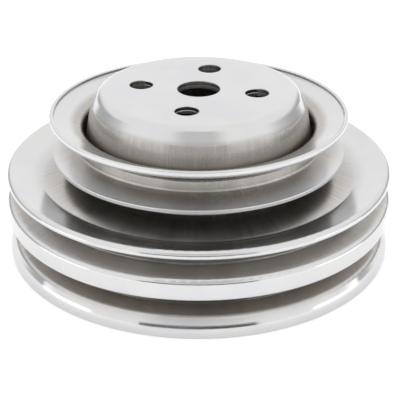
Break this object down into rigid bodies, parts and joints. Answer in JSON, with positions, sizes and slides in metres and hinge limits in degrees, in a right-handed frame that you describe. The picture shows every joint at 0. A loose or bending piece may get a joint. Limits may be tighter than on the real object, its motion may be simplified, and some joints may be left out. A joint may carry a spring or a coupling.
{
  "type": "v-belt pulley",
  "caption": "Stepped pressed-steel V-belt pulley: a small sheave over a wider grooved sheave, raised cup hub with pilot bore and bolt circle, open pump side.",
  "frame": {"origin": "on the pulley's axis, in the plane of the rear lip's edge, on which it stands", "axes": "+Z along the axis of rotation, from the pump side to the fan side; +X and +Y each run through a bolt hole"},
  "size_m": [0.149, 0.149, 0.0625],
  "materials": {
    "chrome_pressing": "polished show chrome",
    "chrome_plate_disc": "duller chrome in the hub's hollow",
    "weld_steel": "fused sheet metal, inside the joint",
    "plated_weld": "rippled weld bead, plated over"
  },
  "bodies": {
    "root": {"hub_cup": "chrome_pressing", "hub_backing_plate": "chrome_plate_disc", "small_sheave_front_flange": "chrome_pressing", "small_sheave_rear_flange": "chrome_pressing", "large_sheave_front_flange": "chrome_pressing", "groove_divider_ring": "chrome_pressing", "large_sheave_rear_flange": "chrome_pressing", "backing_plate_welds": "weld_steel", "hub_collar_welds": "weld_steel", "small_neck_welds": "weld_steel", "front_neck_welds": "plated_weld", "rear_neck_welds": "plated_weld"}
  },
  "joints": []
}
